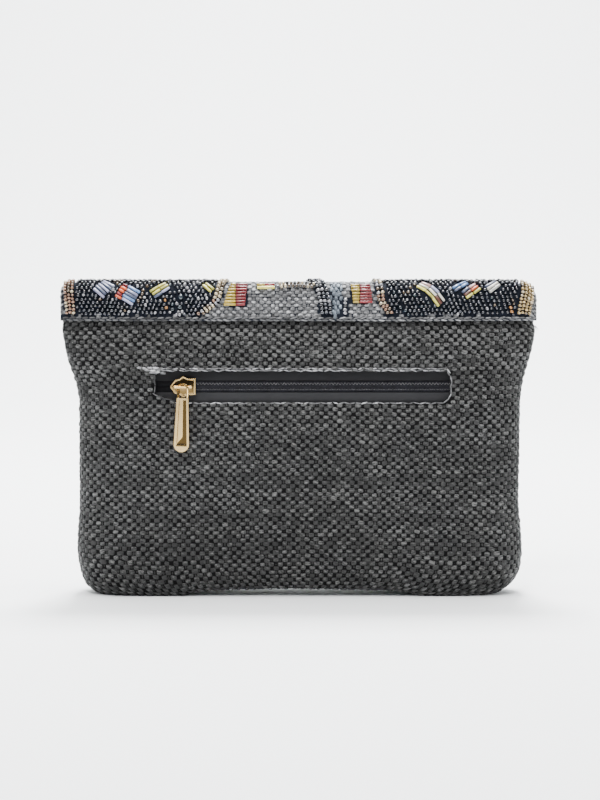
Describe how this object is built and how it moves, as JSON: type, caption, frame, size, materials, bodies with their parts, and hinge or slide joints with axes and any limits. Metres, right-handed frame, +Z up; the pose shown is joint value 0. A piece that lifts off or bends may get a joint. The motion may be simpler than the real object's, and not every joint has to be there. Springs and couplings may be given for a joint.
{
  "type": "beaded clutch",
  "caption": "Woven envelope clutch bag with a beaded fold-over flap and a zipped pocket at the back; the zip puller swings.",
  "frame": {"origin": "middle of the bottom of the bag's box, on the surface that it stands on", "axes": "+Z up, +X along the bag to the right of someone who looks at the zip side, -Y towards that person"},
  "size_m": [0.297, 0.0504, 0.1982],
  "materials": {
    "woven_cloth": "matt plain weave of flat grey yarns",
    "flap_cloth": "plain weave, a lighter grey than the body",
    "beaded_cloth": "cloth covered with shiny navy and gunmetal seed beads",
    "gold_beads": "metallised glass seed beads, copper gold",
    "bronze_beads": "metallised glass seed beads, bronze and silver",
    "bugle_beads": "shiny tube beads in red, gold, yellow, lavender and blue",
    "zip_cloth": "smooth dark zip tape and facing",
    "zip_nylon": "dark nylon coil",
    "pale_gold": "pale gold plating, polished",
    "snap_steel": "plain nickel"
  },
  "bodies": {
    "clutch": {"back_panel": "woven_cloth", "front_panel": "woven_cloth", "flap_base": "flap_cloth", "bead_edge_left": "gold_beads", "bead_edge_right": "gold_beads", "bead_field_left": "beaded_cloth", "bead_field_right": "beaded_cloth", "bead_border_left": "bronze_beads", "bead_border_right": "bronze_beads", "bead_band_centre": "bronze_beads", "bead_column_centre": "bronze_beads", "bugle_fan_left": "bugle_beads", "bugle_fan_right": "bugle_beads", "bugle_leaf_left": "bugle_beads", "bugle_leaf_right": "bugle_beads", "bugle_spray_left": "bugle_beads", "bugle_spray_inner": "bugle_beads", "bugle_spray_centre": "bugle_beads", "bugle_curve": "bugle_beads", "bugle_pair_blue": "bugle_beads", "bugle_pair_orange": "bugle_beads", "bugle_spray_right": "bugle_beads", "zip_facing_upper": "zip_cloth", "zip_facing_lower": "zip_cloth", "zip_tape_upper": "zip_cloth", "zip_tape_lower": "zip_cloth", "zip_coil": "zip_nylon", "zip_slider": "pale_gold", "magnet_snap": "snap_steel"},
    "puller": {"zip_puller": "pale_gold"}
  },
  "joints": [
    {"name": "puller_swing", "type": "hinge", "parent": "clutch", "child": "puller", "pos_m": [-0.07145, -0.02275, 0.132], "axis": [-1, 0, 0], "range_deg": [0, 170]}
  ]
}
